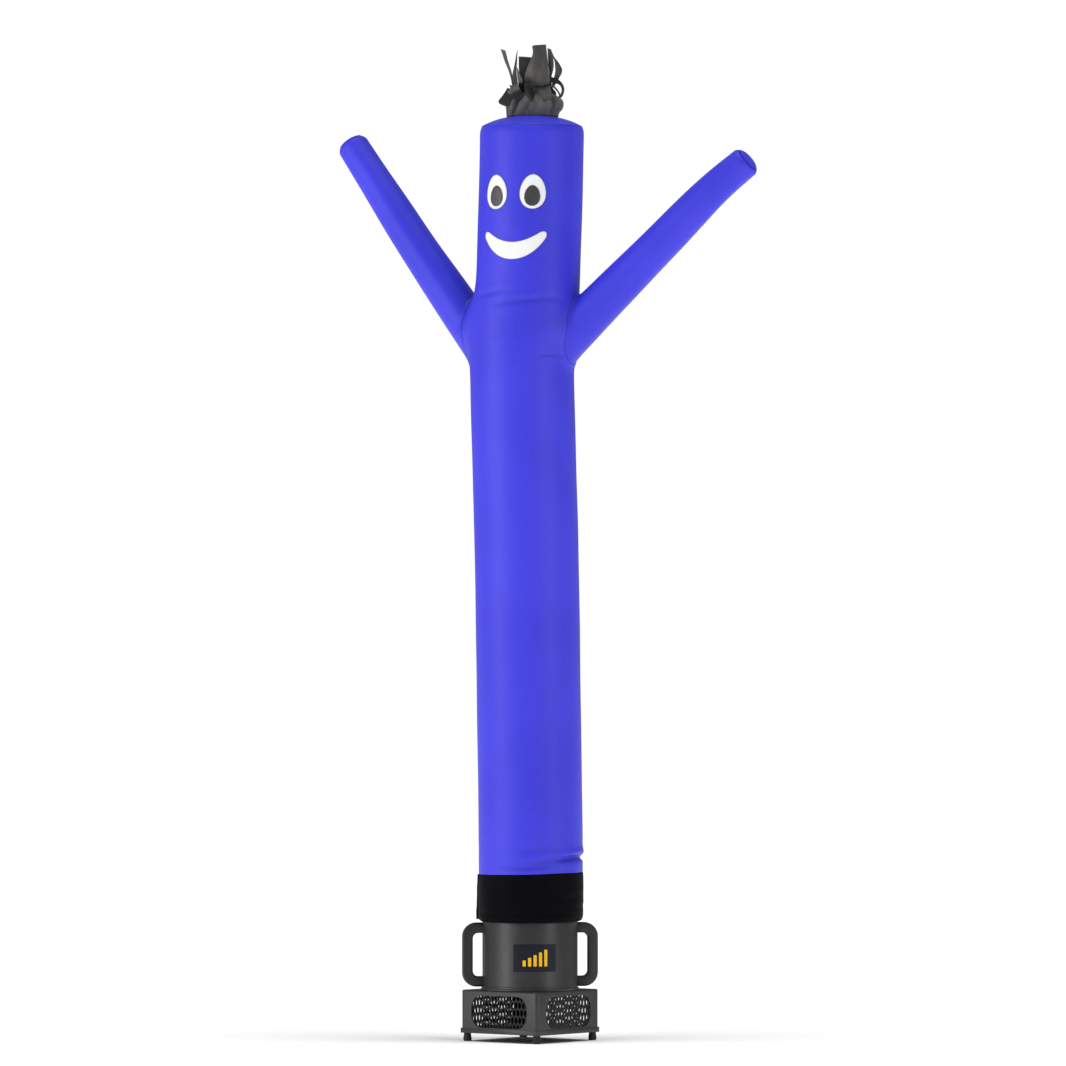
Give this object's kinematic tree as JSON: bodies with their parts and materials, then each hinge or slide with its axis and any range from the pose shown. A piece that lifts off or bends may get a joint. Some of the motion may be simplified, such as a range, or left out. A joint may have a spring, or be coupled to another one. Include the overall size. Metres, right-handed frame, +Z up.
{
  "type": "inflatable air dancer on a blower",
  "caption": "Inflated nylon tube figure with raised arms, smiling face and ribbon hair, skirted onto a square electric blower with side handles.",
  "frame": {"origin": "on the ground, under the middle of the whole object's footprint; the blower's axis stands at x -0.0567, y -0.0374", "axes": "+Z up; the blower's front corner and label place look to -Y and its handles lie along X; the face looks between -Y and -X"},
  "size_m": [1.2849, 0.7865, 3.184],
  "materials": {
    "blue_nylon": "thin coated nylon, blue, soft sheen",
    "black_nylon": "heavier black nylon, matt",
    "ribbon_nylon": "dark grey nylon ribbon, soft sheen",
    "white_patch": "white nylon patch, sewn on",
    "grey_patch": "dark grey nylon patch, sewn on",
    "housing_plastic": "dark grey, finely textured",
    "grille_metal": "expanded metal, painted dark grey",
    "handle_plastic": "dark grey moulded plastic",
    "foot_rubber": "black rubber",
    "label_film": "dark navy film, bare"
  },
  "bodies": {
    "root": {"body_tube": "blue_nylon", "head_cap": "blue_nylon", "arm_left": "blue_nylon", "arm_right": "blue_nylon", "arm_left_cap": "blue_nylon", "arm_right_cap": "blue_nylon", "skirt": "black_nylon", "skirt_flap": "black_nylon", "hair": "ribbon_nylon", "eye_white_left": "white_patch", "eye_white_right": "white_patch", "smile": "white_patch", "pupil_left": "grey_patch", "pupil_right": "grey_patch", "blower_neck": "housing_plastic", "base_box": "housing_plastic", "base_tray": "housing_plastic", "grille_1": "grille_metal", "grille_2": "grille_metal", "grille_3": "grille_metal", "grille_4": "grille_metal", "handle_left": "handle_plastic", "handle_right": "handle_plastic", "foot_1": "foot_rubber", "foot_2": "foot_rubber", "foot_3": "foot_rubber", "foot_4": "foot_rubber", "label_plate": "label_film"}
  },
  "joints": []
}
